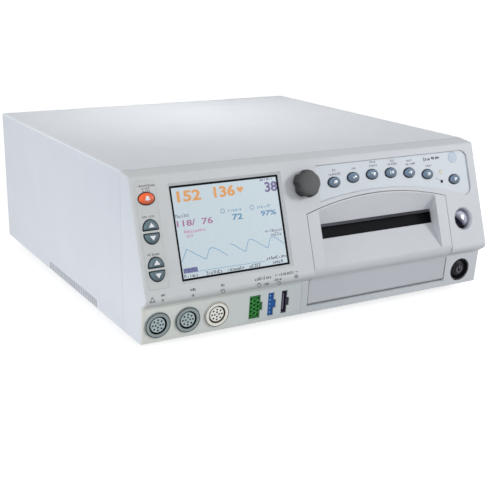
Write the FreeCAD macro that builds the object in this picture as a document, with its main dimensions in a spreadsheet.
import FreeCAD, Part
import math
import os
import re
from collections import namedtuple

import Sketcher

V = FreeCAD.Vector
X_AXIS = V(1, 0, 0)
Y_AXIS = V(0, 1, 0)
TOUCH = 0.02

# Driving dimensions of the monitor, in millimetres and degrees
SIZES = {
    # Case
    "body_width": 424,
    "body_depth": 450,
    "body_height": 162,
    "foot_height": 11,
    "front_lean": 18.27,
    "lower_lean": 5.28,
    "ridge_height": 45.2,
    "step_depth": 11.5,
    "step_drop": 7.8,
    "top_edge_drop": 2.5,
    "seam_setback": 19.2,
    "seam_gap": 0.5,
    "shell_wall": 3,
    "sheet_wall": 1.5,
    "bend_radius": 2.5,
    "nose_radius": 6,
    "corner_radius": 2.5,
    "rear_recess": 14,
    "cover_gap": 0.5,
    "vent_setback": 73,
    "vent_count": 28,
    "vent_pitch": 5.5,
    "vent_width": 2.6,
    "vent_height": 9.5,
    # Clearances
    "slip_gap": 0.2,
    "key_gap": 0.3,
    "shaft_gap": 0.05,
    "seat_gap": 0.02,
    # Panels let into the bezel from behind
    "flange_thick": 2,
    "flange_lip": 1.5,
    # Display
    "display_inset": 101.8,
    "display_v": 62.2,
    "display_width": 121.2,
    "display_height": 91.8,
    "display_bevel": 2.6,
    "window_lip": 3,
    "window_thick": 1.5,
    "module_margin": 8,
    "module_thick": 12,
    # Left key plate
    "strip_inset": 15.5,
    "strip_v": 64.5,
    "strip_width": 21.5,
    "strip_height": 103,
    "strip_corner": 4,
    "strip_proud": 0.2,
    "alarm_v": 98.7,
    "alarm_length": 17.1,
    "alarm_height": 12,
    "volume_one_v": 67.3,
    "volume_two_v": 31.8,
    "volume_width": 16.2,
    "volume_height": 10.3,
    "volume_split": 2.9,
    "strip_key_rise": 2.9,
    "key_round": 1,
    "key_skirt": 0.8,
    "key_skirt_thick": 1.2,
    "post_radius": 1.8,
    "post_length": 5,
    "board_thick": 1.6,
    "board_inset": 1.5,
    "post_gap": 1,
    # Chart key plate
    "chart_width": 204.5,
    "chart_inset": 11.5,
    "chart_top": 112.5,
    "chart_peak": 81.5,
    "chart_arc": 390,
    "chart_corner": 9,
    "chart_recess": 1.6,
    "chart_key_length": 15.8,
    "chart_key_height": 11,
    "chart_key_rise": 3.6,
    "chart_key_round": 2.4,
    "chart_key_first": 21,
    "chart_key_pitch": 25,
    "chart_key_last": 21.3,
    "chart_key_peak": 97,
    "chart_key_arc": 380,
    "lamp_inset": 39.5,
    "lamp_upper_v": 91,
    "lamp_lower_v": 80.2,
    "lamp_radius": 1.6,
    "lamp_head": 2.4,
    # Trim knob
    "knob_inset": 17.5,
    "knob_v": 94.8,
    "knob_radius": 14.4,
    "knob_height": 11,
    "knob_rise": 2.4,
    "knob_face": 9.6,
    "knob_shoulder": 4.5,
    "knob_round": 6,
    "knob_lobes": 5,
    "knob_scallop": 6.5,
    "knob_scallop_depth": 2,
    "knob_socket": 8,
    "encoder_shaft_radius": 3,
    "encoder_width": 15,
    "encoder_thick": 9,
    "encoder_bore": 4,
    "knob_travel": 1.2,
    # Round push buttons in their collars
    "release_inset": 29.2,
    "release_v": 35.4,
    "power_inset": 26.5,
    "power_v": 17.6,
    "collar_radius": 12.8,
    "collar_mouth": 12.2,
    "collar_throat": 11.2,
    "collar_depth": 7,
    "collar_floor": 2,
    "collar_sleeve": 7,
    "sleeve_wall": 1,
    "collar_flange": 14.6,
    "button_radius": 10.4,
    "button_crown": 3.4,
    "button_sink": 0.2,
    "button_foot": 11.2,
    "button_foot_thick": 1.5,
    "button_stem": 3,
    "release_travel": 4,
    "power_travel": 3,
    "switch_width": 25,
    "switch_thick": 14,
    # Latch
    "bolt_height": 8,
    "bolt_thick": 6,
    "bolt_w": 23,
    "bolt_slot_margin": 3.8,
    "bolt_tail": 4,
    "bolt_travel": 3,
    # Connector panel
    "panel_inset": 3.8,
    "panel_width": 177.2,
    "panel_low": 3.6,
    "panel_high": 36.2,
    "panel_lip": 0.7,
    "socket_inset": 13.4,
    "socket_pitch": 32,
    "socket_v": 18.2,
    "socket_ring": 13.1,
    "socket_ring_proud": 1.6,
    "socket_barrel": 11,
    "socket_bore": 9.4,
    "socket_depth": 12,
    "socket_floor": 2,
    "insert_radius": 7.8,
    "insert_sink": 0.8,
    "pin_hole": 0.85,
    "pin_hole_depth": 6,
    "pin_ring_inner": 2.4,
    "pin_ring_outer": 5.4,
    "pin_inner_count": 4,
    "pin_outer_count": 8,
    "keyed_v": 17.8,
    "keyed_height": 25.2,
    "keyed_depth": 15,
    "keyed_sink": 1.2,
    "keyed_lip": 0.8,
    "keyed_bump": 2.6,
    "keyed_bump_height": 9,
    "ecg_inset": 121.2,
    "ecg_width": 12.6,
    "oximetry_inset": 140.2,
    "oximetry_width": 6.6,
    "pressure_inset": 156.2,
    "pressure_width": 6.4,
    "pressure_wall": 0.9,
    "keyed_hole": 1.1,
    "keyed_pitch": 4.6,
    # Recorder door
    "door_width": 184,
    "door_inset": 50.5,
    "door_gap": 0.6,
    "door_peak": 77,
    "door_arc": 325,
    "door_depth": 17,
    "door_lip": 7.3,
    "door_nose_radius": 12,
    "door_hollow_radius": 9,
    "heel_cut": 2.8,
    "hinge_radius": 9,
    "hinge_pin": 2,
    "pillar_width": 14.5,
    "door_rim": 1.5,
    "scoop_depth": 12,
    "ramp_foot": 6.5,
    "slot_low": 36.2,
    "slot_high": 51.8,
    "tear_bar_thick": 2,
    "tear_bar_depth": 4,
    # Recorder works
    "plate_gap": 3,
    "plate_wall": 2,
    "hinge_ear": 5,
    "platen_v": 40,
    "platen_w": 33,
    "platen_radius": 10,
    "platen_shaft_radius": 3,
    "platen_end": 4,
    "bush_wall": 2,
    "plate_front": 20,
    "plate_rise": 22,
    "plate_back": 34,
    "plate_tail": 28,
    "head_depth": 18,
    "head_height": 9,
    "head_gap": 0.3,
    "head_fin_count": 4,
    "paper_width": 152,
    "paper_length": 88,
    "paper_stack": 18,
    "tray_wall": 2,
    "tray_gap": 1,
    "tray_height": 26,
    "tray_setback": 12,
    "gear_module": 0.8,
    "gear_teeth": 45,
    "pinion_teeth": 18,
    "gear_width": 6,
    "gear_backlash": 0.16,
    "gear_offset": 1.2,
    "motor_angle": 11.5,
    "motor_radius": 12,
    "motor_length": 20,
    "motor_shaft": 1.5,
    "motor_shaft_depth": 9,
    # Inside and rear
    "standoff_radius": 4,
    "standoff_height": 9,
    "standoff_margin": 7,
    "board_side_gap": 17,
    "board_rear_gap": 46,
    "main_board_width": 150,
    "main_board_length": 290,
    "chip_height": 6,
    "coil_height": 9,
    "shield_height": 14,
    "capacitor_height": 11,
    "memory_height": 5,
    "supply_side_gap": 22,
    "supply_rear_gap": 46,
    "supply_width": 100,
    "supply_length": 160,
    "supply_height": 62,
    "supply_slot": 4,
    "supply_slot_count": 9,
    "speaker_gap": 15,
    "speaker_radius": 36,
    "speaker_height": 26,
    "magnet_radius": 17,
    "grille_slot": 3,
    "grille_pitch": 7,
    "grille_count": 6,
    "fan_inset": 92,
    "fan_z": 100,
    "fan_width": 60,
    "fan_thick": 22,
    "fan_bore": 28,
    "fan_hub": 12,
    "fan_shaft": 1.5,
    "fan_blades": 7,
    "fan_blade_root": 9.6,
    "fan_blade_lean": 6,
    "fan_blade_thick": 2.4,
    "fan_blade_edge": 1,
    "fan_strut_count": 3,
    "fan_grille_width": 39,
    "fan_grille_count": 7,
    "fan_tip_gap": 1.2,
    "fan_screw_pitch": 50,
    "screw_radius": 2,
    "screw_head_radius": 3.6,
    "screw_head_height": 2,
    "inlet_inset": 62,
    "inlet_z": 42,
    "inlet_width": 28,
    "inlet_height": 20,
    "inlet_depth": 24,
    "inlet_flange": 4,
    "inlet_flange_thick": 2,
    "inlet_wall": 2.5,
    "inlet_cavity": 17,
    "inlet_pin_width": 2,
    "inlet_pin_height": 4,
    "post_inset": 22,
    "post_z": 42,
    "ground_pin_radius": 3,
    "ground_pin_length": 11,
    "ground_nut_radius": 6,
    "ground_nut_thick": 2.5,
    "port_inset": 202,
    "port_z": 42,
    "port_pitch": 38,
    "port_width": 17,
    "port_height": 9,
    "port_proud": 6,
    "port_flange": 7,
    "foot_radius": 11,
    "foot_inset": 55,
    "foot_front": 26,
    "foot_rear": 42,
    "foot_taper": 1.5,
    "foot_well": 5,
}

# Places and lengths that follow from the driving dimensions
DERIVED = {
    "half_width": "body_width / 2",
    "step_length": "sqrt(step_depth^2 + step_drop^2)",
    "nose_spread": "(sin(front_lean) + step_depth / step_length) * step_length"
                   " / (sin(front_lean) * step_drop + cos(front_lean) * step_depth)",
    "ridge_y": "-body_depth / 2 - nose_radius * (nose_spread - 1)",
    "ridge_z": "foot_height + ridge_height",
    "under_y": "ridge_y + step_depth",
    "under_z": "ridge_z - step_drop",
    "base_y": "under_y + (under_z - foot_height) * tan(lower_lean)",
    "top_z": "foot_height + body_height",
    "edge_z": "top_z - top_edge_drop",
    "edge_y": "ridge_y + (edge_z - ridge_z) * tan(front_lean)",
    "seam_y": "edge_y + seam_setback",
    "cover_front": "seam_y + seam_gap",
    "rear_y": "body_depth / 2",
    "wall_y": "rear_y - rear_recess",
    "deck_z": "foot_height + sheet_wall",
    "strip_x": "strip_inset - half_width",
    "display_x": "display_inset - half_width",
    "panel_left": "panel_inset - half_width",
    "panel_right": "panel_left + panel_width",
    "socket_first_x": "panel_left + socket_inset",
    "ecg_x": "panel_left + ecg_inset",
    "oximetry_x": "panel_left + oximetry_inset",
    "pressure_x": "panel_left + pressure_inset",
    "chart_right": "half_width - chart_inset",
    "chart_left": "chart_right - chart_width",
    "chart_key_first_x": "chart_left + chart_key_first",
    "chart_key_last_x": "chart_right - chart_key_last",
    "lamp_x": "chart_right - lamp_inset",
    "knob_x": "chart_left - knob_inset",
    "release_x": "half_width - release_inset",
    "power_x": "half_width - power_inset",
    "door_right": "half_width - door_inset",
    "door_left": "door_right - door_width",
    "plate_back_w": "shell_wall + flange_thick",
    "skirt_top": "-plate_back_w - key_gap",
    "skirt_low": "skirt_top - key_skirt_thick",
    "board_front": "-plate_back_w - post_length",
    "door_centre": "(door_left + door_right) / 2",
    "hinge_v": "door_lip + door_gap + hinge_radius",
    "hinge_y": "base_y - hinge_v * sin(lower_lean) + hinge_radius * cos(lower_lean)",
    "hinge_z": "foot_height + hinge_v * cos(lower_lean) + hinge_radius * sin(lower_lean)",
    "slot_left": "door_left + pillar_width",
    "slot_right": "door_right - pillar_width",
    "plate_left": "door_left - plate_gap",
    "plate_right": "door_right + plate_gap",
    "platen_y": "ridge_y + platen_v * sin(front_lean) + platen_w * cos(front_lean)",
    "platen_z": "ridge_z + platen_v * cos(front_lean) - platen_w * sin(front_lean)",
    "bush_radius": "platen_shaft_radius + bush_wall",
    "gear_centres": "gear_module * (gear_teeth + pinion_teeth) / 2",
    "motor_y": "platen_y + gear_centres * cos(motor_angle)",
    "motor_z": "platen_z + gear_centres * sin(motor_angle)",
    "gear_x": "plate_left - plate_wall - gear_offset - gear_width",
    "tray_front": "hinge_y + tray_setback",
    "tray_back": "tray_front + paper_length + 2 * tray_wall + 2 * tray_gap",
    "tray_width": "paper_width + 2 * tray_wall + 2 * tray_gap",
    "frame_deck": "deck_z + plate_wall",
    "collar_back": "collar_depth + collar_floor",
    "sleeve_back": "collar_back + collar_sleeve",
    "button_foot_top": "-collar_back - key_gap",
    "button_foot_low": "button_foot_top - button_foot_thick",
    "main_board_x": "board_side_gap + main_board_width / 2 - half_width",
    "main_board_y": "wall_y - board_rear_gap - main_board_length / 2",
    "supply_x": "half_width - supply_side_gap - supply_width / 2",
    "supply_y": "wall_y - supply_rear_gap - supply_length / 2",
    "speaker_x": "door_centre",
    "speaker_y": "supply_y - supply_length / 2 - speaker_gap - speaker_radius",
    "fan_x": "fan_inset - half_width",
    "fan_y": "wall_y - sheet_wall",
    "inlet_x": "half_width - inlet_inset",
    "post_x": "half_width - post_inset",
    "port_x": "half_width - port_inset",
}


def expand(text):
    """Turn plain size names into references to the sheet, working derived names out first."""
    def swap(match):
        word = match.group(0)
        if word in DERIVED:
            return "(" + expand(DERIVED[word]) + ")"
        return f"dims.{word}" if word in SIZES else word
    return re.sub(r"[a-z][a-z0-9_]*", swap, text)


def write_sheet(document):
    """Put every driving dimension in a cell of its own, with its name as the alias."""
    cells = document.addObject("Spreadsheet::Sheet", "dims")
    for row, (alias, number) in enumerate(SIZES.items(), start=1):
        cells.set(f"A{row}", alias)
        cells.set(f"B{row}", str(number))
        cells.setAlias(f"B{row}", alias)
    document.recompute()
    return cells


doc = FreeCAD.newDocument("fetal_monitor")
sheet = write_sheet(doc)
nodes = []


def value(text):
    """Work out an expression in the sheet's names as a number."""
    return float(sheet.evalExpression(expand(text)))


def bind(thing, prop, text):
    thing.setExpression(prop, expand(text))


# A frame turns a piece's own axes to a face of the case and finds places on that face
Frame = namedtuple("Frame", "at axis turn")


def on_face(u, v, w):
    """A place on the leaning upper front: across, up the slope from the ridge, and out of it."""
    return (u,
            f"ridge_y + ({v}) * sin(front_lean) - ({w}) * cos(front_lean)",
            f"ridge_z + ({v}) * cos(front_lean) + ({w}) * sin(front_lean)")


def on_base(u, v, w):
    """A place on the lower front, under the ridge: across, up from the underside, and out of it."""
    return (u,
            f"base_y - ({v}) * sin(lower_lean) - ({w}) * cos(lower_lean)",
            f"foot_height + ({v}) * cos(lower_lean) - ({w}) * sin(lower_lean)")


def as_given(x, y, z):
    return (x, y, z)


FACE = Frame(on_face, X_AXIS, "90 - front_lean")
BASE = Frame(on_base, X_AXIS, "90 + lower_lean")
UPRIGHT = Frame(as_given, X_AXIS, "0")
ACROSS = Frame(as_given, Y_AXIS, "90")
REAR = Frame(as_given, X_AXIS, "-90")


def set_place(thing, prop, frame, place):
    """Bind a placement to a place in a frame."""
    if frame.turn != "0":
        setattr(thing, prop, FreeCAD.Placement(V(), FreeCAD.Rotation(frame.axis, 1)))
        bind(thing, f"{prop}.Rotation.Angle", frame.turn)
    for letter, text in zip("xyz", frame.at(*place)):
        bind(thing, f"{prop}.Base.{letter}", text)


def new_body(label, frame=UPRIGHT, place=("0", "0", "0"), node=True):
    body = doc.addObject("PartDesign::Body", label)
    body.Label = label
    set_place(body, "Placement", frame, place)
    if node:
        nodes.append(body)
    return body


def group(label, members):
    """Several separate solids of one kind, kept as one node."""
    compound = doc.addObject("Part::Compound", label)
    compound.Label = label
    compound.Links = members
    nodes.append(compound)
    return compound


def origin_feature(body, role):
    return next(f for f in body.Origin.OriginFeatures if f.Role == role)


def new_sketch(body, plane="XY_Plane", offset="0", frame=None):
    """A sketch on one of the body's own planes, moved along its normal or onto a face of the case."""
    sketch = body.newObject("Sketcher::SketchObject", "sketch")
    sketch.AttachmentSupport = [(origin_feature(body, plane), "")]
    sketch.MapMode = "FlatFace"
    if frame:
        set_place(sketch, "AttachmentOffset", frame, ("0", "0", offset))
    else:
        bind(sketch, "AttachmentOffset.Base.z", offset)
    return sketch


def fix_point(sketch, geometry, position, x, y):
    for kind, text in (("DistanceX", x), ("DistanceY", y)):
        number = sketch.addConstraint(
            Sketcher.Constraint(kind, -1, 1, geometry, position, value(text)))
        bind(sketch, f"Constraints[{number}]", text)


def fix_radius(sketch, geometry, radius):
    number = sketch.addConstraint(Sketcher.Constraint("Radius", geometry, value(radius)))
    bind(sketch, f"Constraints[{number}]", radius)


def arc_between(start, end, radius, side):
    """The arc from start to end whose centre is on the left (side 1) or right (side -1)."""
    chord = end - start
    middle = (start + end) * 0.5
    reach = math.sqrt(max(radius ** 2 - chord.Length ** 2 / 4, 0))
    left = V(-chord.y, chord.x, 0).normalize()
    centre = middle + left * reach * side
    first, last = (start, end) if side > 0 else (end, start)
    circle = Part.Circle(centre, V(0, 0, 1), radius)
    return Part.ArcOfCircle(circle, circle.parameter(first), circle.parameter(last))


def outline(sketch, points):
    """A closed outline. A point is (x, y), or (x, y, radius, side) where an arc leaves it."""
    spots = [V(value(p[0]), value(p[1]), 0) for p in points]
    edges = []
    for number, point in enumerate(points):
        start, end = spots[number], spots[(number + 1) % len(points)]
        if len(point) == 2:
            geometry = sketch.addGeometry(Part.LineSegment(start, end), False)
            edges.append((geometry, 1, 2))
        else:
            arc = arc_between(start, end, value(point[2]), point[3])
            geometry = sketch.addGeometry(arc, False)
            edges.append((geometry, 1, 2) if point[3] > 0 else (geometry, 2, 1))
    for number, (geometry, first, last) in enumerate(edges):
        following, start, _ = edges[(number + 1) % len(edges)]
        sketch.addConstraint(Sketcher.Constraint("Coincident", geometry, last, following, start))
    for (geometry, first, _), point in zip(edges, points):
        fix_point(sketch, geometry, first, point[0], point[1])
        if len(point) > 2:
            fix_radius(sketch, geometry, point[2])
    return sketch


def circles(sketch, centres, radius):
    for x, y in centres:
        geometry = sketch.addGeometry(Part.Circle(V(value(x), value(y), 0), V(0, 0, 1), value(radius)), False)
        fix_radius(sketch, geometry, radius)
        fix_point(sketch, geometry, 3, x, y)
    return sketch


def pad(body, sketch, length, midplane=False):
    feature = body.newObject("PartDesign::Pad", "pad")
    feature.Profile = sketch
    feature.Midplane = midplane
    bind(feature, "Length", length)
    return feature


def pocket(body, sketch, depth, midplane=False):
    feature = body.newObject("PartDesign::Pocket", "pocket")
    feature.Profile = sketch
    feature.Midplane = midplane
    bind(feature, "Length", depth)
    return feature


def slab(body, points, low, high):
    """A plate of this outline between two heights of the body's Z axis."""
    return pad(body, outline(new_sketch(body, offset=low), points), f"({high}) - ({low})")


def opening(body, points, low, high):
    """Cut this outline away between two heights of the body's Z axis."""
    return pocket(body, outline(new_sketch(body, offset=high), points), f"({high}) - ({low})")


def peg(body, centres, radius, low, high):
    return pad(body, circles(new_sketch(body, offset=low), centres, radius), f"({high}) - ({low})")


def bore(body, centres, radius, low, high):
    return pocket(body, circles(new_sketch(body, offset=high), centres, radius), f"({high}) - ({low})")


def turn(body, points):
    """A solid turned about the body's Z axis from an outline of (radius, height) points."""
    feature = body.newObject("PartDesign::Revolution", "turning")
    sketch = outline(new_sketch(body, "XZ_Plane"), points)
    feature.Profile = sketch
    feature.ReferenceAxis = (sketch, ["V_Axis"])
    feature.Angle = 360
    return feature


def ring_of(body, feature, count):
    """Repeat a feature round the body's Z axis."""
    pattern = body.newObject("PartDesign::PolarPattern", "ring")
    pattern.Originals = [feature]
    pattern.Axis = (origin_feature(body, "Z_Axis"), [""])
    pattern.Angle = 360
    bind(pattern, "Occurrences", count)
    body.Tip = pattern
    return pattern


def row_of(body, feature, axis, length, count):
    """Repeat a feature along one of the body's axes."""
    pattern = body.newObject("PartDesign::LinearPattern", "row")
    pattern.Originals = [feature]
    pattern.Direction = (origin_feature(body, axis), [""])
    bind(pattern, "Length", length)
    bind(pattern, "Occurrences", count)
    body.Tip = pattern
    return pattern


def flat_at(height):
    """Pick the edges that lie flat at this height of the body's Z axis."""
    level = value(height)
    return lambda edge: max(abs(edge.BoundBox.ZMin - level), abs(edge.BoundBox.ZMax - level)) < TOUCH


def along_x(y, z):
    """Pick the edges that run along X at this place."""
    spot = V(0, value(y), value(z))

    def test(edge):
        ends = [vertex.Point for vertex in edge.Vertexes]
        return len(ends) == 2 and all(math.hypot(p.y - spot.y, p.z - spot.z) < TOUCH for p in ends)
    return test


def dress_edges(body, kind, prop, amount, test):
    """Round or bevel the edges of the body that pass the test."""
    doc.recompute()
    base = body.Tip
    names = [f"Edge{i}" for i, edge in enumerate(base.Shape.Edges, start=1) if test(edge)]
    feature = body.newObject(kind, "edges")
    feature.Base = (base, names)
    bind(feature, prop, amount)
    return feature


def round_edges(body, radius, test):
    return dress_edges(body, "PartDesign::Fillet", "Radius", radius, test)


def bevel_edges(body, amount, test):
    return dress_edges(body, "PartDesign::Chamfer", "Size", amount, test)


# Outlines shared by openings and by the pieces that fill them
def rectangle(x, y, width, height):
    left, right = f"{x} - ({width}) / 2", f"{x} + ({width}) / 2"
    low, high = f"{y} - ({height}) / 2", f"{y} + ({height}) / 2"
    return [(left, low), (right, low), (right, high), (left, high)]


def round_rectangle(x, y, width, height, radius):
    left, right = f"{x} - ({width}) / 2", f"{x} + ({width}) / 2"
    low, high = f"{y} - ({height}) / 2", f"{y} + ({height}) / 2"
    return [(f"{left} + ({radius})", low), (f"{right} - ({radius})", low, radius, 1),
            (right, f"{low} + ({radius})"), (right, f"{high} - ({radius})", radius, 1),
            (f"{right} - ({radius})", high), (f"{left} + ({radius})", high, radius, 1),
            (left, f"{high} - ({radius})"), (left, f"{low} + ({radius})", radius, 1)]


def oval(x, y, length, height):
    """A long oval of four arcs: two tight ends and two flatter sides."""
    far, near = f"0.4 * ({length})", f"0.3 * ({height})"
    end_arc = f"((0.3 * ({height}))^2 + (0.1 * ({length}))^2) / (0.2 * ({length}))"
    side_arc = f"((0.4 * ({length}))^2 + (0.2 * ({height}))^2) / (0.4 * ({height}))"
    return [(f"{x} + {far}", f"{y} - {near}", end_arc, 1), (f"{x} + {far}", f"{y} + {near}", side_arc, 1),
            (f"{x} - {far}", f"{y} + {near}", end_arc, 1), (f"{x} - {far}", f"{y} - {near}", side_arc, 1)]


def dome(x, y, width, height, upwards):
    """A half oval of three arcs on a flat side at y, pointing up or down."""
    half, sign, side = f"({width}) / 2", "+" if upwards else "-", 1 if upwards else -1
    crown = f"((0.3 * ({width}))^2 + (0.2 * ({height}))^2) / (0.4 * ({height}))"
    flank = f"1.1 * ({height})"
    shoulder = f"{y} {sign} 0.8 * ({height})"
    return [(f"{x} + {half}", y, flank, side), (f"{x} + 0.3 * ({width})", shoulder, crown, side),
            (f"{x} - 0.3 * ({width})", shoulder, flank, side), (f"{x} - {half}", y)]


def arch(x, peak, radius):
    """Height of a shallow arch over the recorder at a place across it."""
    return f"({peak}) - ({radius}) + sqrt(({radius})^2 - ({x} - door_centre)^2)"


def strip_outline(grow):
    return round_rectangle("0", "0", f"strip_width + 2 * ({grow})", f"strip_height + 2 * ({grow})",
                           f"strip_corner + ({grow})")


def chart_outline(grow):
    left, right = f"chart_left - ({grow})", f"chart_right + ({grow})"
    top, peak, corner = f"chart_top + ({grow})", f"chart_peak - ({grow})", f"chart_corner + ({grow})"
    foot_x = f"{right} - ({corner})"
    foot_v = arch(foot_x, peak, "chart_arc")
    return [(left, arch(left, peak, "chart_arc"), "chart_arc", -1), (foot_x, foot_v, corner, 1),
            (right, f"{foot_v} + {corner}"), (right, f"{top} - ({corner})", corner, 1),
            (foot_x, top), (left, top)]


def door_outline(grow, low):
    left, right, peak = f"door_left - ({grow})", f"door_right + ({grow})", f"door_peak + ({grow})"
    return [(left, low), (right, low), (right, arch(right, peak, "door_arc"), "door_arc", 1),
            (left, arch(left, peak, "door_arc"))]


def panel_outline(grow):
    return [(f"panel_left - ({grow})", f"panel_low - ({grow})"),
            (f"panel_right + ({grow})", f"panel_low - ({grow})"),
            (f"panel_right + ({grow})", f"panel_high + ({grow})"),
            (f"panel_left - ({grow})", f"panel_high + ({grow})")]


def keyed_outline(x, width, grow):
    """A tall socket with a key on the middle of its right side."""
    left, right = f"{x} - {width} / 2 - ({grow})", f"{x} + {width} / 2 + ({grow})"
    low, high = f"keyed_v - keyed_height / 2 - ({grow})", f"keyed_v + keyed_height / 2 + ({grow})"
    nose = f"{right} + keyed_bump"
    key_low = f"keyed_v - keyed_bump_height / 2 - ({grow})"
    key_high = f"keyed_v + keyed_bump_height / 2 + ({grow})"
    return [(left, low), (right, low), (right, key_low), (nose, key_low), (nose, key_high),
            (right, key_high), (right, high), (left, high)]


def chart_key_places():
    """Six keys on a shallow arc and a seventh near the right end of the same arc."""
    across = [f"chart_key_first_x + {i} * chart_key_pitch" for i in range(6)] + ["chart_key_last_x"]
    return [(x, arch(x, "chart_key_peak", "chart_key_arc")) for x in across]


def volume_keys():
    """The four volume keys: name, flat side's height and whether the key points up."""
    keys = []
    for pair in ("one", "two"):
        keys.append((f"volume_{pair}_up_key", f"volume_{pair}_v + volume_split / 2", True))
        keys.append((f"volume_{pair}_down_key", f"volume_{pair}_v - volume_split / 2", False))
    return keys


# Case
def front_bezel():
    """The moulded front: a hollow shell with the leaning face, the ridge and the lower front."""
    body = new_body("front_bezel")
    section = [("seam_y", "foot_height"), ("base_y", "foot_height"), ("under_y", "under_z"),
               ("ridge_y", "ridge_z"), ("edge_y", "edge_z"), ("seam_y", "top_z")]
    pad(body, outline(new_sketch(body, "YZ_Plane"), section), "body_width", midplane=True)
    round_edges(body, "nose_radius", along_x("ridge_y", "ridge_z"))
    round_edges(body, "corner_radius", along_x("edge_y", "edge_z"))
    half, back = value("half_width"), value("seam_y")
    round_edges(body, "corner_radius",
                lambda e: abs(abs(e.CenterOfMass.x) - half) < TOUCH and e.BoundBox.YMin < back - TOUCH
                and e.BoundBox.ZMax > value("foot_height") + TOUCH)
    inner_lower = "base_y + shell_wall / cos(lower_lean)"
    inner_slope = "ridge_y + shell_wall / cos(front_lean)"
    hollow = [("cover_front", "foot_height + shell_wall"),
              (f"{inner_lower} - shell_wall * tan(lower_lean)", "foot_height + shell_wall"),
              ("under_y + shell_wall / cos(lower_lean) - shell_wall / 2 * tan(lower_lean)",
               "under_z + shell_wall / 2"),
              (f"{inner_slope} + shell_wall * tan(front_lean)", "ridge_z + shell_wall"),
              (f"{inner_slope} + (edge_z - shell_wall - ridge_z) * tan(front_lean)", "edge_z - shell_wall"),
              ("cover_front", "top_z - shell_wall")]
    pocket(body, outline(new_sketch(body, "YZ_Plane"), hollow), "body_width - 2 * shell_wall", midplane=True)
    through = "2 * shell_wall"
    face_cuts = [rectangle("display_x", "display_v", "display_width", "display_height"),
                 [(f"strip_x + {x}", f"strip_v + {y}", *rest) for x, y, *rest in strip_outline("0")],
                 chart_outline("0")]
    for points in face_cuts:
        pocket(body, outline(new_sketch(body, frame=FACE), points), through)
    face_holes = [("knob_x", "knob_v", "encoder_bore"),
                  ("release_x", "release_v", "collar_radius + slip_gap")]
    for u, v, radius in face_holes:
        pocket(body, circles(new_sketch(body, frame=FACE), [(u, v)], radius), through)
    door_cut = door_outline("door_gap", "-step_drop")
    pocket(body, outline(new_sketch(body, frame=FACE), door_cut), "step_depth + 2 * step_drop + shell_wall")
    lower_cut = [("door_left - door_gap", "door_lip"), ("door_right + door_gap", "door_lip"),
                 ("door_right + door_gap", "ridge_height + step_drop"),
                 ("door_left - door_gap", "ridge_height + step_drop")]
    pocket(body, outline(new_sketch(body, frame=BASE, offset="step_depth + nose_radius"), lower_cut),
           "step_depth + nose_radius + 2 * shell_wall")
    pocket(body, outline(new_sketch(body, frame=BASE), panel_outline("0")), through)
    pocket(body, circles(new_sketch(body, frame=BASE), [("power_x", "power_v")], "collar_radius + slip_gap"),
           through)
    bevel_edges(body, "display_bevel", display_rim)


def display_rim(edge):
    """The four edges of the display opening on the outer face."""
    sine, cosine = math.sin(math.radians(value("front_lean"))), math.cos(math.radians(value("front_lean")))
    for vertex in edge.Vertexes:
        y, z = vertex.Y - value("ridge_y"), vertex.Z - value("ridge_z")
        u, v, w = vertex.X, y * sine + z * cosine, z * sine - y * cosine
        across = abs(abs(u - value("display_x")) - value("display_width") / 2)
        upwards = abs(abs(v - value("display_v")) - value("display_height") / 2)
        if max(across, upwards, abs(w)) > TOUCH:
            return False
    return True


def top_cover():
    """The folded sheet over the top and down both sides, with vent slots along its lower edges."""
    body = new_body("top_cover")
    inner = "half_width - sheet_wall"
    section = [("-half_width", "foot_height"), (f"-({inner})", "foot_height"),
               (f"-({inner})", "top_z - sheet_wall"), (inner, "top_z - sheet_wall"), (inner, "foot_height"),
               ("half_width", "foot_height"), ("half_width", "top_z"), ("-half_width", "top_z")]
    pad(body, outline(new_sketch(body, "XZ_Plane", "-rear_y"), section), "rear_y - cover_front")
    width, top, wall = value("half_width"), value("top_z"), value("sheet_wall")
    for radius, x, z in (("bend_radius", width, top), ("bend_radius - sheet_wall", width - wall, top - wall)):
        round_edges(body, radius, lambda e, x=x, z=z: abs(abs(e.CenterOfMass.x) - x) < TOUCH
                    and abs(e.CenterOfMass.z - z) < TOUCH and e.BoundBox.YLength > wall)
    start = "cover_front + vent_setback"
    slot = [(start, "foot_height - sheet_wall"), (f"{start} + vent_width", "foot_height - sheet_wall"),
            (f"{start} + vent_width", "foot_height + vent_height"), (start, "foot_height + vent_height")]
    cut = pocket(body, outline(new_sketch(body, "YZ_Plane"), slot), "2 * body_width", midplane=True)
    row_of(body, cut, "Y_Axis", "vent_pitch * (vent_count - 1)", "vent_count")


def board_posts():
    """Places of the four pressed posts under the main board."""
    across = "main_board_width / 2 - standoff_margin"
    along = "main_board_length / 2 - standoff_margin"
    return [(f"main_board_x {sx} ({across})", f"main_board_y {sy} ({along})") for sx in "+-" for sy in "+-"]


def foot_places():
    across = "half_width - foot_inset"
    return [(f"{sx}({across})", y) for sx in ("", "-")
            for y in ("cover_front + foot_front", "wall_y - foot_rear")]


def fan_screw_places():
    """Places of the fan's screws, across and down from the fan's centre."""
    return [(f"{sx}fan_screw_pitch / 2", f"{sz}fan_screw_pitch / 2") for sx in ("", "-") for sz in ("", "-")]


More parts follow.
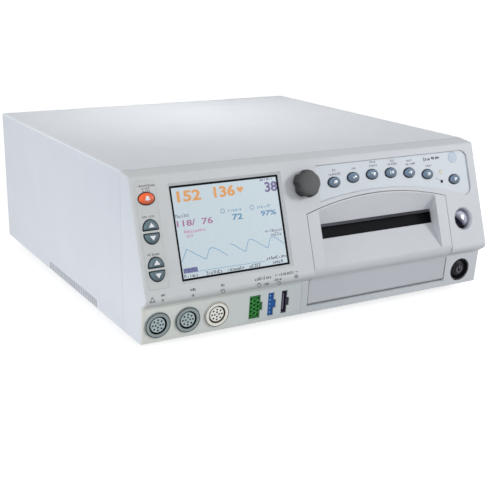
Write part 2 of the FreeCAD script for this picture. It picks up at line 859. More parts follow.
def chassis_pan():
    """The folded floor and rear wall, with pressed board posts and the rear wall's cut-outs."""
    body = new_body("chassis_pan")
    head = "top_z - sheet_wall - cover_gap"
    section = [("cover_front", "foot_height"), ("wall_y", "foot_height"), ("wall_y", head),
               ("wall_y - sheet_wall", head), ("wall_y - sheet_wall", "deck_z"), ("cover_front", "deck_z")]
    pad(body, outline(new_sketch(body, "YZ_Plane"), section), "body_width - 2 * sheet_wall - 2 * cover_gap",
        midplane=True)
    peg(body, board_posts(), "standoff_radius", "deck_z", "deck_z + standoff_height")
    bore(body, foot_places(), "screw_radius + key_gap", "foot_height", "deck_z")
    grille = rectangle("speaker_x", "speaker_y - speaker_radius / 2", "speaker_radius", "grille_slot")
    slot = opening(body, grille, "foot_height", "deck_z")
    row_of(body, slot, "Y_Axis", "grille_pitch * (grille_count - 1)", "grille_count")
    rear = "-wall_y"
    inlet = rectangle("inlet_x", "inlet_z", "inlet_width + 2 * slip_gap", "inlet_height + 2 * slip_gap")
    pocket(body, outline(new_sketch(body, "XZ_Plane", rear), inlet), "sheet_wall").Reversed = True
    for number in range(3):
        port = rectangle(f"port_x + {number} * port_pitch", "port_z", "port_width + 2 * slip_gap",
                         "port_height + 2 * slip_gap")
        pocket(body, outline(new_sketch(body, "XZ_Plane", rear), port), "sheet_wall").Reversed = True
    holes = [(f"fan_x + {x}", f"fan_z + {z}") for x, z in fan_screw_places()]
    for centres, radius in ((holes, "screw_radius + key_gap"),
                            ([("post_x", "post_z")], "ground_pin_radius + slip_gap")):
        rounds = circles(new_sketch(body, "XZ_Plane", rear), centres, radius)
        pocket(body, rounds, "sheet_wall").Reversed = True
    spread = "grille_pitch * (fan_grille_count - 1)"
    vent = rectangle("fan_x", f"fan_z - {spread} / 2", "fan_grille_width", "grille_slot")
    cut = pocket(body, outline(new_sketch(body, "XZ_Plane", rear), vent), "sheet_wall")
    cut.Reversed = True
    row_of(body, cut, "Z_Axis", spread, "fan_grille_count")


def feet():
    """Four rubber feet, each with a well for its screw."""
    members = []
    for number, (x, y) in enumerate(foot_places(), start=1):
        body = new_body(f"foot_{number}", UPRIGHT, (x, y, "0"), node=False)
        hole, well = "screw_radius + key_gap", "screw_head_radius + 3 * key_gap"
        turn(body, [(well, "0"), ("foot_radius - foot_taper", "0"), ("foot_radius", "foot_height"),
                    (hole, "foot_height"), (hole, "foot_well"), (well, "foot_well")])
        members.append(body)
    group("feet", members)


def screw(label, frame, place, length):
    """A pan-head screw: its head at the origin, its shank along +Z."""
    body = new_body(label, frame, place, node=False)
    turn(body, [("0", "-screw_head_height"), ("screw_head_radius - key_gap", "-screw_head_height"),
                ("screw_head_radius", "0"), ("screw_radius", "0"), ("screw_radius", length), ("0", length)])
    return body


def screws():
    """The foot screws and the fan screws."""
    members = [screw(f"foot_screw_{i}", UPRIGHT, (x, y, "foot_well"), "deck_z - foot_well - key_gap")
               for i, (x, y) in enumerate(foot_places(), start=1)]
    inward = Frame(as_given, X_AXIS, "90")
    members += [screw(f"fan_screw_{i}", inward, (f"fan_x + {x}", "wall_y", f"fan_z + {z}"), "3 * sheet_wall")
                for i, (x, z) in enumerate(fan_screw_places(), start=1)]
    group("screws", members)


# Display
def display_window():
    body = new_body("display_window", FACE, ("display_x", "display_v", "-shell_wall"))
    slab(body, rectangle("0", "0", "display_width + 2 * window_lip", "display_height + 2 * window_lip"),
         "-window_thick", "0")


def display_module():
    body = new_body("display_module", FACE, ("display_x", "display_v", "-shell_wall - window_thick"))
    slab(body, rectangle("0", "0", "display_width + 2 * module_margin", "display_height + 2 * module_margin"),
         "-module_thick", "0")
    round_edges(body, "key_round", flat_at("-module_thick"))


# Keys and their plates
def left_key_plate():
    """The narrow plate at the left with the alarm key and the two pairs of volume keys."""
    body = new_body("left_key_plate", FACE, ("strip_x", "strip_v", "0"))
    slab(body, strip_outline("flange_lip"), "-plate_back_w", "-shell_wall")
    slab(body, strip_outline("-slip_gap"), "-shell_wall", "strip_proud")
    alarm = oval("0", "alarm_v - strip_v", "alarm_length + 2 * key_gap", "alarm_height + 2 * key_gap")
    opening(body, alarm, "-plate_back_w", "strip_proud")
    for _, flat, upwards in volume_keys():
        edge = f"{flat} - strip_v {'-' if upwards else '+'} key_gap"
        hole = dome("0", edge, "volume_width + 2 * key_gap", "volume_height + 2 * key_gap", upwards)
        opening(body, hole, "-plate_back_w", "strip_proud")
    ends = "strip_height / 2 - post_radius - board_inset"
    peg(body, [("0", ends), ("0", f"-({ends})")], "post_radius", "board_front", "-plate_back_w")


def strip_key(label, v, cap, skirt):
    """A key of the left plate: its cap, and the skirt behind the plate that keeps it in."""
    body = new_body(label, FACE, ("strip_x", v, "0"))
    top = "strip_proud + strip_key_rise"
    slab(body, cap, "skirt_top", top)
    slab(body, skirt, "skirt_low", "skirt_top")
    round_edges(body, "key_round", flat_at(top))


def strip_keys():
    strip_key("alarm_key", "alarm_v", oval("0", "0", "alarm_length", "alarm_height"),
              oval("0", "0", "alarm_length + 2 * key_skirt", "alarm_height + 2 * key_skirt"))
    for label, flat, upwards in volume_keys():
        edge = "-key_skirt" if upwards else "key_skirt"
        strip_key(label, flat, dome("0", "0", "volume_width", "volume_height", upwards),
                  dome("0", edge, "volume_width + 2 * key_skirt", "volume_height + 2 * key_skirt", upwards))


def chart_board_outline():
    """The switch board behind the chart keys, stepped down at the right for the last key."""
    low, step, high = "chart_peak + post_radius", "chart_peak - chart_corner", "chart_top - chart_corner / 2"
    left, turn_x, right = "chart_left + chart_corner", "lamp_x - chart_corner", "chart_right - chart_corner"
    return [(left, low), (turn_x, low), (turn_x, step), (right, step), (right, high), (left, high)]


def chart_post_places():
    """The posts that carry the chart key board, above the keys and beside the last one."""
    high = "chart_top - chart_corner / 2 - post_radius - board_inset"
    return [("chart_left + chart_corner + post_radius + board_inset", high),
            ("door_centre", "chart_key_peak + chart_key_height / 2 + key_skirt + post_radius + post_gap"),
            ("chart_right - chart_corner - post_radius - board_inset", high)]


def chart_key_outline(u, v, grow):
    return oval(u, v, f"chart_key_length + 2 * ({grow})", f"chart_key_height + 2 * ({grow})")


def chart_key_plate():
    """The arched plate over the recorder that holds the seven oval keys and two lamps."""
    body = new_body("chart_key_plate", FACE)
    slab(body, chart_outline("flange_lip"), "-plate_back_w", "-shell_wall")
    slab(body, chart_outline("-slip_gap"), "-shell_wall", "-chart_recess")
    for u, v in chart_key_places():
        opening(body, chart_key_outline(u, v, "key_gap"), "-plate_back_w", "-chart_recess")
    bore(body, lamp_places(), "lamp_radius + slip_gap", "-plate_back_w", "-chart_recess")
    peg(body, chart_post_places(), "post_radius", "board_front", "-plate_back_w")


def chart_keys():
    for number, (u, v) in enumerate(chart_key_places(), start=1):
        body = new_body(f"chart_key_{number}", FACE, (u, v, "0"))
        top = "chart_key_rise - chart_recess"
        slab(body, chart_key_outline("0", "0", "0"), "skirt_top", top)
        slab(body, chart_key_outline("0", "0", "key_skirt"), "skirt_low", "skirt_top")
        round_edges(body, "chart_key_round", flat_at(top))


def lamp_places():
    return [("lamp_x", "lamp_upper_v"), ("lamp_x", "lamp_lower_v")]


def status_lamps():
    """Two lamps standing on the chart key board and showing through the plate."""
    members = []
    for number, (u, v) in enumerate(lamp_places(), start=1):
        body = new_body(f"lamp_{number}", FACE, (u, v, "0"), node=False)
        top = "key_gap - chart_recess"
        turn(body, [("0", "board_front"), ("lamp_head", "board_front"), ("lamp_head", "skirt_low"),
                    ("lamp_radius", "skirt_low"), ("lamp_radius", top), ("0", top)])
        round_edges(body, "lamp_radius / 2", flat_at(top))
        members.append(body)
    group("status_lamps", members)


def key_boards():
    """The two switch boards behind the keys, each on the posts of its plate."""
    strip = new_body("strip_board", FACE, ("strip_x", "strip_v", "0"), node=False)
    slab(strip, rectangle("0", "0", "strip_width - 2 * board_inset", "strip_height - 2 * board_inset"),
         "board_front - board_thick", "board_front")
    chart = new_body("chart_board", FACE, node=False)
    slab(chart, chart_board_outline(), "board_front - board_thick", "board_front")
    group("key_boards", [strip, chart])


# Trim knob
def encoder_body():
    """The encoder's housing behind the bezel, with a bore for its shaft."""
    body = new_body("encoder_body", FACE, ("knob_x", "knob_v", "-shell_wall"))
    slab(body, rectangle("0", "0", "encoder_width", "encoder_width"), "-encoder_thick", "0")
    bore(body, [("0", "0")], "encoder_shaft_radius + shaft_gap", "-encoder_thick", "0")


def encoder_shaft():
    """The shaft that carries the knob and is pushed in with it."""
    body = new_body("encoder_shaft", FACE, ("knob_x", "knob_v", "0"))
    peg(body, [("0", "0")], "encoder_shaft_radius", "-shell_wall - encoder_thick",
        "knob_rise + knob_socket - key_gap")


def trim_knob():
    """A low knob with a flat face, rounded shoulders and wide scallops for the fingers."""
    body = new_body("trim_knob", FACE, ("knob_x", "knob_v", "knob_rise"))
    hole = "encoder_shaft_radius + shaft_gap"
    turn(body, [(hole, "0"), ("knob_radius", "0"),
                ("knob_radius", "knob_height - knob_shoulder", "knob_round", 1), ("knob_face", "knob_height"),
                ("0", "knob_height"), ("0", "knob_socket"), (hole, "knob_socket")])
    centre = [("knob_radius + knob_scallop - knob_scallop_depth", "0")]
    scallop = bore(body, centre, "knob_scallop", "0", "knob_height")
    ring_of(body, scallop, "knob_lobes")


# Round push buttons
def collar(label, frame, u, v):
    """A conical cup with a flange behind the bezel and a sleeve that guides its button."""
    body = new_body(label, frame, (u, v, "0"), node=False)
    throat = "button_radius + key_gap"
    sleeve_in = "button_foot + key_gap"
    sleeve_out = f"{sleeve_in} + sleeve_wall"
    turn(body, [("collar_mouth", "0"), ("collar_radius", "0"), ("collar_radius", "-shell_wall"),
                ("collar_flange", "-shell_wall"), ("collar_flange", "-plate_back_w"),
                (sleeve_out, "-collar_back"), (sleeve_out, "-sleeve_back"), (sleeve_in, "-sleeve_back"),
                (sleeve_in, "-collar_back"), (throat, "-collar_back"), (throat, "-collar_depth"),
                ("collar_throat", "-collar_depth")])
    return body


def button_collars():
    group("button_collars", [collar("release_collar", FACE, "release_x", "release_v"),
                             collar("power_collar", BASE, "power_x", "power_v")])


def push_button(label, frame, u, v, stem_end):
    """A crowned round button with a foot inside its collar and a stem behind."""
    body = new_body(label, frame, (u, v, "0"))
    ball = "(button_radius^2 + button_crown^2) / (2 * button_crown)"
    rim = "-button_sink - button_crown"
    turn(body, [("0", stem_end), ("button_stem", stem_end), ("button_stem", "button_foot_low"),
                ("button_foot", "button_foot_low"), ("button_foot", "button_foot_top"),
                ("button_radius", "button_foot_top"), ("button_radius", rim, ball, 1), ("0", "-button_sink")])


def power_switch():
    """The switch behind the power button, on the end of its collar's sleeve."""
    body = new_body("power_switch", BASE, ("power_x", "power_v", "-sleeve_back"))
    slab(body, rectangle("0", "0", "switch_width", "switch_width"), "-switch_thick", "0")
    bore(body, [("0", "0")], "button_stem + shaft_gap", "-switch_thick", "0")


def latch_bolt():
    """The bolt that the release button draws aside, sliding through the frame's right plate."""
    body = new_body("latch_bolt", FACE, ("release_x", "release_v", "-bolt_w"))
    tip = "door_right + door_gap - release_x"
    slab(body, [(tip, "-bolt_height / 2"), ("button_stem + bolt_slot_margin + bolt_tail", "-bolt_height / 2"),
                ("button_stem + bolt_slot_margin + bolt_tail", "bolt_height / 2"), (tip, "bolt_height / 2")],
         "-bolt_thick / 2", "bolt_thick / 2")
    slot = rectangle("0", "0", "2 * (button_stem + bolt_slot_margin)", "2 * (button_stem + key_gap)")
    opening(body, slot, "-bolt_thick / 2", "bolt_thick / 2")


# Sockets
def connector_panel():
    """The panel under the ridge at the left, with three round and three keyed cut-outs."""
    body = new_body("connector_panel", BASE)
    slab(body, panel_outline("panel_lip"), "-plate_back_w", "-shell_wall")
    slab(body, panel_outline("-slip_gap"), "-shell_wall", "0")
    centres = [(f"socket_first_x + {i} * socket_pitch", "socket_v") for i in range(3)]
    bore(body, centres, "socket_barrel + slip_gap", "-plate_back_w", "0")
    for name in ("ecg", "oximetry", "pressure"):
        opening(body, keyed_outline(f"{name}_x", f"{name}_width", "slip_gap"), "-plate_back_w", "0")


def socket_shell(label, number, node):
    body = new_body(label, BASE, (f"socket_first_x + {number} * socket_pitch", "socket_v", "0"), node)
    turn(body, [("0", "-socket_depth - socket_floor"), ("socket_barrel", "-socket_depth - socket_floor"),
                ("socket_barrel", "0"), ("socket_ring", "0"), ("socket_ring", "socket_ring_proud / 2"),
                ("socket_ring - socket_ring_proud / 2", "socket_ring_proud"),
                ("socket_bore", "socket_ring_proud"), ("socket_bore", "-socket_depth"),
                ("0", "-socket_depth")])
    return body


def socket_insert(label, number, node):
    """The insert in the middle of a round socket, with twelve contact holes in two rings."""
    body = new_body(label, BASE, (f"socket_first_x + {number} * socket_pitch", "socket_v", "0"), node)
    top = "-insert_sink"
    peg(body, [("0", "0")], "insert_radius", "-socket_depth", top)
    round_edges(body, "key_round / 2", flat_at(top))
    for ring in ("inner", "outer"):
        hole = bore(body, [(f"pin_ring_{ring}", "0")], "pin_hole", f"{top} - pin_hole_depth", top)
        ring_of(body, hole, f"pin_{ring}_count")
    return body


def round_sockets():
    group("ultrasound_shells", [socket_shell(f"ultrasound_shell_{i}", i - 1, False) for i in (1, 2)])
    group("ultrasound_inserts", [socket_insert(f"ultrasound_insert_{i}", i - 1, False) for i in (1, 2)])
    socket_shell("toco_shell", 2, True)
    socket_insert("toco_insert", 2, True)


def keyed_socket(label, name):
    """The block of a keyed socket with its flange behind the panel."""
    body = new_body(label, BASE)
    slab(body, keyed_outline(f"{name}_x", f"{name}_width", "0"), "-keyed_depth", "-keyed_sink")
    slab(body, keyed_outline(f"{name}_x", f"{name}_width", "keyed_lip"), "-plate_back_w - flange_thick",
         "-plate_back_w")
    return body


def contact_holes(body, x, columns, rows):
    """Contact holes in staggered columns."""
    for column in range(columns):
        across = f"{x} + {column - (columns - 1) / 2} * 0.87 * keyed_pitch"
        count = rows - column % 2
        centres = [(across, f"keyed_v + {row - (count - 1) / 2} * keyed_pitch") for row in range(count)]
        bore(body, centres, "keyed_hole", "-keyed_sink - pin_hole_depth", "-keyed_sink")


def keyed_sockets():
    contact_holes(keyed_socket("ecg_socket", "ecg"), "ecg_x", 3, 5)
    contact_holes(keyed_socket("oximetry_socket", "oximetry"), "oximetry_x", 1, 5)
    body = keyed_socket("pressure_socket", "pressure")
    opening(body, rectangle("pressure_x", "keyed_v", "pressure_width - 2 * pressure_wall",
                            "keyed_height - 4 * pressure_wall"), "-keyed_depth + flange_thick", "-keyed_sink")


# Recorder door
def recorder_door():
    """The door over the paper: two pillars, a curved visor, the paper slot and a ramp to a soft ridge."""
    body = new_body("recorder_door")
    foot = "door_lip + door_gap"
    _, inner_foot_y, inner_foot_z = on_base("0", foot, "-hinge_radius")
    _, foot_y, foot_z = on_base("0", foot, "-heel_cut")
    _, front_y, front_z = on_base("0", f"{foot} + heel_cut", "0")
    _, head_y, head_z = on_face("0", "door_peak + door_gap", "0")
    _, rear_head_y, rear_head_z = on_face("0", "door_peak + door_gap", "-door_depth")
    _, heel_y, heel_z = on_face("0", "0", "-door_depth")
    section = [(inner_foot_y, inner_foot_z), (foot_y, foot_z), (front_y, front_z), ("under_y", "under_z"),
               ("ridge_y", "ridge_z"), (head_y, head_z), (rear_head_y, rear_head_z), (heel_y, heel_z),
               ("hinge_y", "hinge_z")]
    pad(body, outline(new_sketch(body, "YZ_Plane", "door_left"), section), "door_width")
    round_edges(body, "door_nose_radius", along_x("ridge_y", "ridge_z"))
    round_edges(body, "door_hollow_radius", along_x("under_y", "under_z"))
    knuckle = circles(new_sketch(body, "YZ_Plane", "door_left"), [("hinge_y", "hinge_z")],
                      "hinge_radius - key_gap")
    pad(body, knuckle, "door_width")
    pin = circles(new_sketch(body, "YZ_Plane", "door_left"), [("hinge_y", "hinge_z")],
                  "hinge_pin + shaft_gap")
    pocket(body, pin, "door_width").Reversed = True
    left, right, over = "door_left - door_gap", "door_right + door_gap", "door_peak + 2 * door_depth"
    crown = [(left, arch(left, "door_peak", "door_arc"), "door_arc", -1),
             (right, arch(right, "door_peak", "door_arc")), (right, over), (left, over)]
    pocket(body, outline(new_sketch(body, frame=FACE), crown), "4 * door_depth", midplane=True)
    scoop = body.newObject("PartDesign::SubtractiveLoft", "scoop")
    rim = "door_peak - door_rim"
    scoop.Profile = outline(new_sketch(body, frame=FACE),
                            [("slot_left", "ramp_foot"), ("slot_right", "ramp_foot"),
                             ("slot_right", arch("slot_right", rim, "door_arc"), "door_arc", 1),
                             ("slot_left", arch("slot_left", rim, "door_arc"))])
    slot = [("slot_left", "slot_low"), ("slot_right", "slot_low"), ("slot_right", "slot_high"),
            ("slot_left", "slot_high")]
    scoop.Sections = [outline(new_sketch(body, frame=FACE, offset="-scoop_depth"), slot)]
    scoop.Ruled = True
    pocket(body, outline(new_sketch(body, frame=FACE, offset="-scoop_depth"), slot), "door_depth")


def tear_bar():
    """The steel strip under the visor that the chart is torn against."""
    body = new_body("tear_bar", FACE)
    left, right = "slot_left + slip_gap", "slot_right - slip_gap"
    low = "slot_high - tear_bar_thick"
    slab(body, [(left, low), (right, low), (right, "slot_high"), (left, "slot_high")],
         "-scoop_depth - key_gap - tear_bar_depth", "-scoop_depth - key_gap")


def door_hinge_pin():
    start = "plate_left - plate_wall - seam_gap"
    body = new_body("door_hinge_pin", ACROSS, (start, "hinge_y", "hinge_z"))
    peg(body, [("0", "0")], "hinge_pin", "0", f"plate_right + plate_wall + seam_gap - ({start})")


# Recorder works
def recorder_frame():
    """Two side plates and a deck, carrying the door's hinge, the platen, the head and the tray."""
    body = new_body("recorder_frame")
    front, back = "cover_front + plate_wall", "tray_back + tray_wall"
    plate = [("hinge_y - hinge_ear", "hinge_z - hinge_ear"), ("hinge_y - hinge_ear", "hinge_z + hinge_ear"),
             ("platen_y - plate_front", "platen_z - plate_rise"),
             ("platen_y - plate_front", "platen_z + plate_rise"),
             ("platen_y + plate_back", "platen_z + plate_rise"), (back, "deck_z + plate_tail"),
             (back, "deck_z"), (front, "deck_z"), (front, "deck_z + 2 * shell_wall"),
             ("hinge_y + 2 * hinge_ear", "hinge_z - hinge_ear")]
    for x in ("plate_left - plate_wall", "plate_right"):
        pad(body, outline(new_sketch(body, "YZ_Plane", x), plate), "plate_wall")
        if x == "plate_left - plate_wall":
            deck = [("plate_left - plate_wall", front), ("plate_right + plate_wall", front),
                    ("plate_right + plate_wall", back), ("plate_left - plate_wall", back)]
            slab(body, deck, "deck_z", "frame_deck")
    for y, z, radius in (("hinge_y", "hinge_z", "hinge_pin + seat_gap"),
                         ("platen_y", "platen_z", "bush_radius + seat_gap")):
        pocket(body, circles(new_sketch(body, "YZ_Plane"), [(y, z)], radius), "2 * body_width", midplane=True)
    motor_hole = circles(new_sketch(body, "YZ_Plane", "plate_left"), [("motor_y", "motor_z")],
                         "motor_shaft + seam_gap")
    pocket(body, motor_hole, "plate_wall")
    _, bolt_y, bolt_z = on_face("0", "release_v", "-bolt_w")
    window = rectangle(bolt_y, bolt_z, "bolt_height + bolt_thick", "bolt_height + bolt_thick / 2")
    pocket(body, outline(new_sketch(body, "YZ_Plane", "plate_right + plate_wall"), window), "plate_wall")


def platen_bushes():
    members = []
    for number, x in enumerate(("plate_left - plate_wall", "plate_right"), start=1):
        body = new_body(f"platen_bush_{number}", ACROSS, (x, "platen_y", "platen_z"), node=False)
        peg(body, [("0", "0")], "bush_radius", "0", "plate_wall")
        bore(body, [("0", "0")], "platen_shaft_radius + shaft_gap", "0", "plate_wall")
        members.append(body)
    group("platen_bushes", members)


def platen_shaft():
    body = new_body("platen_shaft", ACROSS, ("gear_x", "platen_y", "platen_z"))
    peg(body, [("0", "0")], "platen_shaft_radius", "0", "plate_right + plate_wall + platen_end - gear_x")


def platen_roller():
    """The rubber sleeve that draws the chart, on its shaft."""
    body = new_body("platen_roller", ACROSS, ("slot_left", "platen_y", "platen_z"))
    length = "slot_right - slot_left"
    peg(body, [("0", "0")], "platen_radius", "0", length)
    bore(body, [("0", "0")], "platen_shaft_radius + seat_gap", "0", length)


def gear_wheel(teeth, width, lean, bore_radius):
    """An involute spur gear in the YZ plane, one tooth pointing at the given angle."""
    module, backlash = value("gear_module"), value("gear_backlash")
    pressure = math.radians(20)
    pitch = module * teeth / 2
    base, tip, root = pitch * math.cos(pressure), pitch + 0.9 * module, pitch - 1.25 * module
    half = math.pi / (2 * teeth) - backlash / (4 * pitch)

    def half_angle(radius):
        angle = math.acos(min(base / radius, 1))
        return half + (math.tan(pressure) - pressure) - (math.tan(angle) - angle)
    start = max(base, root)
    radii = [root] + [start + (tip - start) * step / 4 for step in range(5)]
    flank = [(radius, half_angle(max(radius, base))) for radius in radii]
    points = []
    for tooth in range(teeth):
        middle = lean + 2 * math.pi * tooth / teeth
        for radius, angle in [(r, -a) for r, a in flank] + flank[::-1]:
            points.append(V(0, radius * math.cos(middle + angle), radius * math.sin(middle + angle)))
    blank = Part.Face(Part.makePolygon(points + points[:1])).extrude(V(width, 0, 0))
    if bore_radius:
        blank = blank.cut(Part.makeCylinder(bore_radius, width, V(), X_AXIS))
    return blank


def add_feature(label, shape, place):
    feature = doc.addObject("Part::Feature", label)
    feature.Label = label
    feature.Shape = shape
    feature.Placement = FreeCAD.Placement(V(*(value(text) for text in place)), FreeCAD.Rotation())
    nodes.append(feature)


def recorder_gears():
    """The gear on the platen and the motor's pinion, meshing on the line between their centres."""
    lean, width = math.radians(value("motor_angle")), value("gear_width")
    wheel = gear_wheel(round(value("gear_teeth")), width, lean,
                       value("platen_shaft_radius + seat_gap"))
    add_feature("platen_gear", wheel, ("gear_x", "platen_y", "platen_z"))
    teeth = round(value("pinion_teeth"))
    pinion = gear_wheel(teeth, width, lean + math.pi + math.pi / teeth, 0)
    reach = value("plate_left - gear_x + motor_shaft_depth - shaft_gap")
    shaft = Part.makeCylinder(value("motor_shaft"), reach, V(), X_AXIS)
    add_feature("motor_pinion", pinion.fuse(shaft).removeSplitter(), ("gear_x", "motor_y", "motor_z"))


def paper_motor():
    body = new_body("paper_motor", ACROSS, ("plate_left", "motor_y", "motor_z"))
    peg(body, [("0", "0")], "motor_radius", "0", "motor_length")
    bore(body, [("0", "0")], "motor_shaft + shaft_gap", "0", "motor_shaft_depth")
    round_edges(body, "key_round", flat_at("motor_length"))


def print_head():
    """The thermal head across the top of the platen, held by both side plates."""
    low = "platen_z + platen_radius + head_gap"
    body = new_body("print_head", UPRIGHT, ("door_centre", "platen_y", low))
    slab(body, rectangle("0", "0", "plate_right - plate_left", "head_depth"), "0", "head_height")
    fin = rectangle("0", "-head_depth / 3", "slot_right - slot_left", "head_depth / 9")
    cut = opening(body, fin, "head_height / 2", "head_height")
    row_of(body, cut, "Y_Axis", "2 * head_depth / 3", "head_fin_count")


def paper_tray():
    body = new_body("paper_tray", UPRIGHT, ("door_centre", "(tray_front + tray_back) / 2", "frame_deck"))
    length = "tray_back - tray_front"
    slab(body, rectangle("0", "0", "tray_width", length), "0", "tray_height")
    opening(body, rectangle("0", "0", "tray_width - 2 * tray_wall", f"{length} - 2 * tray_wall"),
            "tray_wall", "tray_height")


def paper_pack():
    """The pack of fan-fold chart paper, lying in the tray."""
    body = new_body("paper_pack", UPRIGHT,
                    ("door_centre", "(tray_front + tray_back) / 2", "frame_deck + tray_wall"))
    slab(body, rectangle("0", "0", "paper_width", "paper_length"), "0", "paper_stack")


# Inside and rear
def main_board():
    """The processor board on its posts, with its larger components."""
    low = "deck_z + standoff_height"
    body = new_body("main_board", UPRIGHT, ("main_board_x", "main_board_y", low))
    slab(body, rectangle("0", "0", "main_board_width", "main_board_length"), "0", "board_thick")
    parts = [("-0.2", "-0.25", "0.3", "0.12", "chip_height"), ("0.2", "-0.3", "0.25", "0.1", "coil_height"),
             ("0", "0.05", "0.5", "0.2", "shield_height"),
             ("-0.25", "0.32", "0.22", "0.14", "capacitor_height"),
             ("0.22", "0.3", "0.28", "0.1", "memory_height")]
    for x, y, width, length, height in parts:
        block = rectangle(f"{x} * main_board_width", f"{y} * main_board_length", f"{width} * main_board_width",
                          f"{length} * main_board_length")
        slab(body, block, "board_thick", f"board_thick + {height}")


def power_supply():
    """The boxed power supply on the floor, with cooling slots in its lid."""
    body = new_body("power_supply", UPRIGHT, ("supply_x", "supply_y", "deck_z"))
    slab(body, rectangle("0", "0", "supply_width", "supply_length"), "0", "supply_height")
    slot = rectangle("0", "-supply_length / 3", "0.7 * supply_width", "supply_slot")
    cut = opening(body, slot, "supply_height - supply_slot", "supply_height")
    row_of(body, cut, "Y_Axis", "2 * supply_length / 3", "supply_slot_count")


def speaker():
    """The loudspeaker on the floor's grille: rim, basket and magnet."""
    body = new_body("speaker", UPRIGHT, ("speaker_x", "speaker_y", "deck_z"))
    rim, waist = "sheet_wall * 2", "speaker_height * 0.6"
    turn(body, [("0", waist), ("magnet_radius / 2", waist), ("speaker_radius - sheet_wall * 4", rim),
                ("speaker_radius - sheet_wall * 3", "0"), ("speaker_radius", "0"), ("speaker_radius", rim),
                ("speaker_radius - sheet_wall * 2", rim), ("magnet_radius", waist),
                ("magnet_radius", "speaker_height"), ("0", "speaker_height")])


def fan_frame():
    """The square fan frame against the rear wall, with a spider that carries the rotor's shaft."""
    body = new_body("fan_frame", REAR, ("fan_x", "fan_y", "fan_z"))
    slab(body, rectangle("0", "0", "fan_width", "fan_width"), "-fan_thick", "0")
    bore(body, [("0", "0")], "fan_bore", "-fan_thick", "0")
    peg(body, [("0", "0")], "fan_hub", "-plate_wall", "0")
    arm = rectangle("(fan_bore + fan_hub) / 2", "0", "fan_bore - fan_hub + 2 * plate_wall", "2 * plate_wall")
    strut = slab(body, arm, "-plate_wall", "0")
    ring_of(body, strut, "fan_strut_count")
    peg(body, [("0", "0")], "fan_shaft", "-fan_thick + plate_wall", "-plate_wall")
    bore(body, fan_screw_places(), "screw_radius + seat_gap", "-3 * sheet_wall", "0")


def fan_rotor():
    """The fan's hub and its slanted blades."""
    body = new_body("fan_rotor", REAR, ("fan_x", "fan_y", "fan_z"))
    top, low = "-plate_wall - key_gap", "-fan_thick + plate_wall / 2"
    peg(body, [("0", "0")], "fan_hub", low, top)
    blade_low, blade_top = f"{low} + fan_blade_edge", f"{top} - fan_blade_edge"
    blade = [("-fan_blade_lean", blade_low), ("fan_blade_thick - fan_blade_lean", blade_low),
             ("fan_blade_lean", blade_top), ("fan_blade_lean - fan_blade_thick", blade_top)]
    reach = "fan_bore - fan_tip_gap - fan_blade_root"
    wing = pad(body, outline(new_sketch(body, "YZ_Plane", "fan_blade_root"), blade), reach)
    ring_of(body, wing, "fan_blades")
    bore(body, [("0", "0")], "fan_shaft + shaft_gap", "-fan_thick + plate_wall - key_gap", top)


def mains_inlet():
    """The appliance inlet in the rear wall: flange, body, plug cavity and three pins."""
    body = new_body("mains_inlet", REAR, ("inlet_x", "wall_y", "inlet_z"))
    slab(body, rectangle("0", "0", "inlet_width", "inlet_height"), "-inlet_depth", "0")
    slab(body, rectangle("0", "0", "inlet_width + 2 * inlet_flange", "inlet_height + inlet_flange"), "0",
         "inlet_flange_thick")
    opening(body, rectangle("0", "0", "inlet_width - 2 * inlet_wall", "inlet_height - 2 * inlet_wall"),
            "inlet_flange_thick - inlet_cavity", "inlet_flange_thick")
    pins = [("-inlet_width / 4", "-inlet_wall / 2"), ("0", "inlet_wall / 2"),
            ("inlet_width / 4", "-inlet_wall / 2")]
    for x, y in pins:
        slab(body, rectangle(x, y, "inlet_pin_width", "inlet_pin_height"), "inlet_flange_thick - inlet_cavity",
             "-inlet_wall")


def equipotential_post():
    """The bare earthing post at the rear, with a nut on each side of the wall."""
    body = new_body("equipotential_post", REAR, ("post_x", "wall_y", "post_z"))
    back = "-sheet_wall - ground_nut_thick"
    turn(body, [("0", back), ("ground_nut_radius", back), ("ground_nut_radius", "-sheet_wall"),
                ("ground_pin_radius", "-sheet_wall"), ("ground_pin_radius", "0"), ("ground_nut_radius", "0"),
                ("ground_nut_radius", "ground_nut_thick"), ("ground_pin_radius", "ground_nut_thick"),
                ("ground_pin_radius", "ground_pin_length"), ("0", "ground_pin_length")])


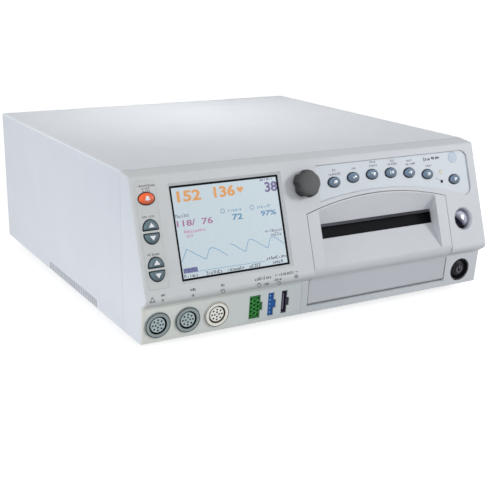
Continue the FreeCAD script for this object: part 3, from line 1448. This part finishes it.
def rear_ports():
    """Three data ports in a row on the rear wall."""
    members = []
    for number in range(3):
        place = (f"port_x + {number} * port_pitch", "wall_y", "port_z")
        body = new_body(f"port_{number + 1}", REAR, place, node=False)
        slab(body, rectangle("0", "0", "port_width + 2 * port_flange", "port_height + port_flange / 2"),
             "-sheet_wall - flange_thick", "-sheet_wall")
        shroud = round_rectangle("0", "0", "port_width", "port_height", "2 * key_round")
        slab(body, shroud, "-sheet_wall", "port_proud")
        cavity = round_rectangle("0", "0", "port_width - sheet_wall", "port_height - sheet_wall", "key_round")
        opening(body, cavity, "0", "port_proud")
        members.append(body)
    group("rear_ports", members)


def build():
    """Make every piece, from the case inwards."""
    for make in (front_bezel, top_cover, chassis_pan, feet, screws, display_window, display_module,
                 left_key_plate, strip_keys, chart_key_plate, chart_keys, status_lamps, key_boards,
                 encoder_body, encoder_shaft, trim_knob, button_collars, power_switch, latch_bolt,
                 connector_panel, round_sockets, keyed_sockets, recorder_door, tear_bar, door_hinge_pin,
                 recorder_frame, platen_bushes, platen_shaft, platen_roller, recorder_gears, paper_motor,
                 print_head, paper_tray, paper_pack, main_board, power_supply, speaker, fan_frame, fan_rotor,
                 mains_inlet, equipotential_post, rear_ports):
        make()
    push_button("release_button", FACE, "release_x", "release_v", "-bolt_w - bolt_thick / 2")
    push_button("power_button", BASE, "power_x", "power_v", "-sleeve_back - power_travel - key_gap")
    doc.recompute()


def check():
    """Stop if any object failed or any piece has no sound solid."""
    for thing in doc.Objects:
        if {"Invalid", "Error"} & set(thing.State):
            raise RuntimeError(f"{thing.Name} ({thing.Label}) failed: {thing.State}")
    for node in nodes:
        if node.Shape.isNull() or not node.Shape.isValid() or not node.Shape.Solids:
            raise RuntimeError(f"{node.Label} has no sound solid")


def write():
    os.makedirs("parts", exist_ok=True)
    for node in nodes:
        node.Shape.exportStep(f"parts/{node.Label}.step")
        print(f"{node.Label}: {len(node.Shape.Solids)} solids, {node.Shape.Volume / 1000:.1f} cm3")


build()
check()
write()
print(f"{len(nodes)} pieces written")
